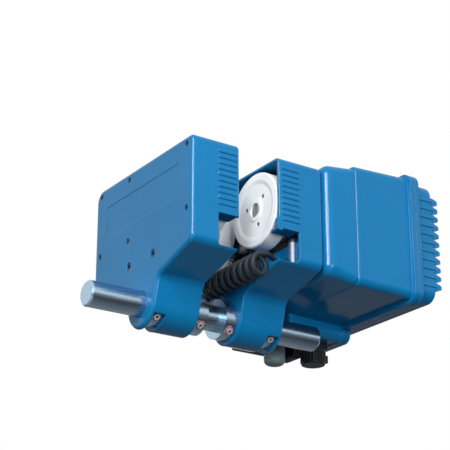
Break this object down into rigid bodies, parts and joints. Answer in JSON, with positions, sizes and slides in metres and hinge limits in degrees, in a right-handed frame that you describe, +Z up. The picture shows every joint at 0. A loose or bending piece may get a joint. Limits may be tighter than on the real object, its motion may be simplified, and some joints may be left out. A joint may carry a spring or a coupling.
{
  "type": "motorized beam trolley",
  "caption": "Motorized trolley that runs on the lower flange of a beam: two wheeled cheeks on a round crossbar, a finned drive unit on one side and a curly control cord.",
  "frame": {"origin": "on the running surface, midway between the cheeks and between the front and rear wheels", "axes": "+X across the track to the drive side, +Y along the travel to the rear, +Z up"},
  "size_m": [0.4465, 0.2576, 0.2332],
  "materials": {
    "blue_paint": "glossy paint on a casting",
    "bar_steel": "ground bright bar",
    "wheel_white": "off-white cast polyamide",
    "roller_steel": "turned",
    "bearing_steel": "ground",
    "zinc_steel": "zinc plated",
    "screw_steel": "blackened",
    "marked_screw": "plated, with a dab of red marking paint",
    "gear_steel": "milled and oiled",
    "core_iron": "plain",
    "shield_aluminium": "machined casting",
    "dark_plastic": "fine grain",
    "grey_plastic": "fine grain",
    "black_rubber": "matt"
  },
  "bodies": {
    "bar": {"crossbar": "bar_steel"},
    "idle_side": {"idle_cheek": "blue_paint", "idle_axle_plate": "zinc_steel", "idle_cheek_screws": "screw_steel", "idle_cheek_bolts": "screw_steel", "idle_outer_collar": "bar_steel", "idle_inner_collar": "bar_steel", "idle_collar_screws": "marked_screw", "idle_axles": "zinc_steel", "idle_axle_clips": "zinc_steel", "idle_roller_pins": "zinc_steel", "idle_bearings_front": "bearing_steel", "idle_bearings_rear": "bearing_steel"},
    "drive_side": {"drive_cheek": "blue_paint", "drive_axle_plate": "zinc_steel", "drive_cheek_screws": "screw_steel", "drive_cheek_bolts": "screw_steel", "drive_outer_collar": "bar_steel", "drive_inner_collar": "bar_steel", "drive_collar_screws": "marked_screw", "drive_axles": "zinc_steel", "drive_axle_clips": "zinc_steel", "drive_roller_pins": "zinc_steel", "drive_bearings_front": "bearing_steel", "drive_bearings_rear": "bearing_steel", "gear_housing": "blue_paint", "drive_screws": "screw_steel", "motor_housing": "blue_paint", "unit_bearings": "gear_steel", "stator": "core_iron", "end_shield": "shield_aluminium", "brake_magnet": "core_iron", "lip_gasket": "black_rubber", "end_cap": "blue_paint", "cap_screws": "screw_steel", "connection_box": "dark_plastic", "connection_lid": "dark_plastic", "lid_screws": "screw_steel", "blank_gland": "grey_plastic", "socket_base": "dark_plastic", "cord_grommet": "black_rubber", "curly_cord": "black_rubber", "cord_gland": "dark_plastic"},
    "idle_wheel_front": {"idle_wheel_front": "wheel_white"},
    "idle_wheel_rear": {"idle_wheel_rear": "wheel_white"},
    "idle_roller_front": {"idle_roller_front": "roller_steel"},
    "idle_roller_rear": {"idle_roller_rear": "roller_steel"},
    "drive_wheel_front": {"drive_wheel_front": "wheel_white"},
    "drive_wheel_rear": {"drive_wheel_rear": "wheel_white"},
    "drive_roller_front": {"drive_roller_front": "roller_steel"},
    "drive_roller_rear": {"drive_roller_rear": "roller_steel"},
    "rotor": {"motor_shaft": "gear_steel", "rotor_core": "core_iron", "brake_disc": "core_iron"},
    "layshaft": {"layshaft": "gear_steel", "first_gear": "gear_steel"},
    "output": {"output_shaft": "gear_steel", "final_gear": "gear_steel"},
    "socket_cap": {"socket_cap": "dark_plastic"}
  },
  "joints": [
    {"name": "idle_side_slide", "type": "slide", "parent": "bar", "child": "idle_side", "axis": [-1, 0, 0], "range_m": [-0.006, 0.062]},
    {"name": "drive_side_slide", "type": "slide", "parent": "bar", "child": "drive_side", "axis": [1, 0, 0], "range_m": [-0.006, 0.062]},
    {"name": "idle_wheel_front_spin", "type": "hinge", "parent": "idle_side", "child": "idle_wheel_front", "pos_m": [0, -0.061, 0.048], "axis": [1, 0, 0], "continuous": true},
    {"name": "idle_wheel_rear_spin", "type": "hinge", "parent": "idle_side", "child": "idle_wheel_rear", "pos_m": [0, 0.061, 0.048], "axis": [1, 0, 0], "continuous": true},
    {"name": "idle_roller_front_spin", "type": "hinge", "parent": "idle_side", "child": "idle_roller_front", "pos_m": [-0.058, -0.1, -0.014], "axis": [0, 0, 1], "continuous": true},
    {"name": "idle_roller_rear_spin", "type": "hinge", "parent": "idle_side", "child": "idle_roller_rear", "pos_m": [-0.058, 0.1, -0.014], "axis": [0, 0, 1], "continuous": true},
    {"name": "drive_wheel_front_spin", "type": "hinge", "parent": "drive_side", "child": "drive_wheel_front", "pos_m": [0, -0.061, 0.048], "axis": [1, 0, 0], "continuous": true},
    {"name": "drive_wheel_rear_spin", "type": "hinge", "parent": "drive_side", "child": "drive_wheel_rear", "pos_m": [0, 0.061, 0.048], "axis": [1, 0, 0], "continuous": true},
    {"name": "drive_roller_front_spin", "type": "hinge", "parent": "drive_side", "child": "drive_roller_front", "pos_m": [0.058, -0.1, -0.014], "axis": [0, 0, 1], "continuous": true},
    {"name": "drive_roller_rear_spin", "type": "hinge", "parent": "drive_side", "child": "drive_roller_rear", "pos_m": [0.058, 0.1, -0.014], "axis": [0, 0, 1], "continuous": true},
    {"name": "rotor_spin", "type": "hinge", "parent": "drive_side", "child": "rotor", "pos_m": [0.12, 0.008, 0.04651], "axis": [1, 0, 0], "continuous": true},
    {"name": "layshaft_spin", "type": "hinge", "parent": "drive_side", "child": "layshaft", "pos_m": [0.12, 0.05, 0.02569], "axis": [1, 0, 0], "continuous": true},
    {"name": "output_spin", "type": "hinge", "parent": "drive_side", "child": "output", "pos_m": [0.12, 0, 0.048], "axis": [1, 0, 0], "continuous": true},
    {"name": "socket_cap_turn", "type": "hinge", "parent": "drive_side", "child": "socket_cap", "pos_m": [0.207, 0.058, -0.083], "axis": [0, 0, 1], "range_deg": [0, 60]}
  ],
  "couplings": [
    {"joint": "layshaft_spin", "follows": "rotor_spin", "ratio": -0.2931},
    {"joint": "output_spin", "follows": "rotor_spin", "ratio": 0.088978},
    {"joint": "drive_wheel_front_spin", "follows": "rotor_spin", "ratio": -0.084035},
    {"joint": "drive_wheel_rear_spin", "follows": "rotor_spin", "ratio": -0.084035}
  ]
}
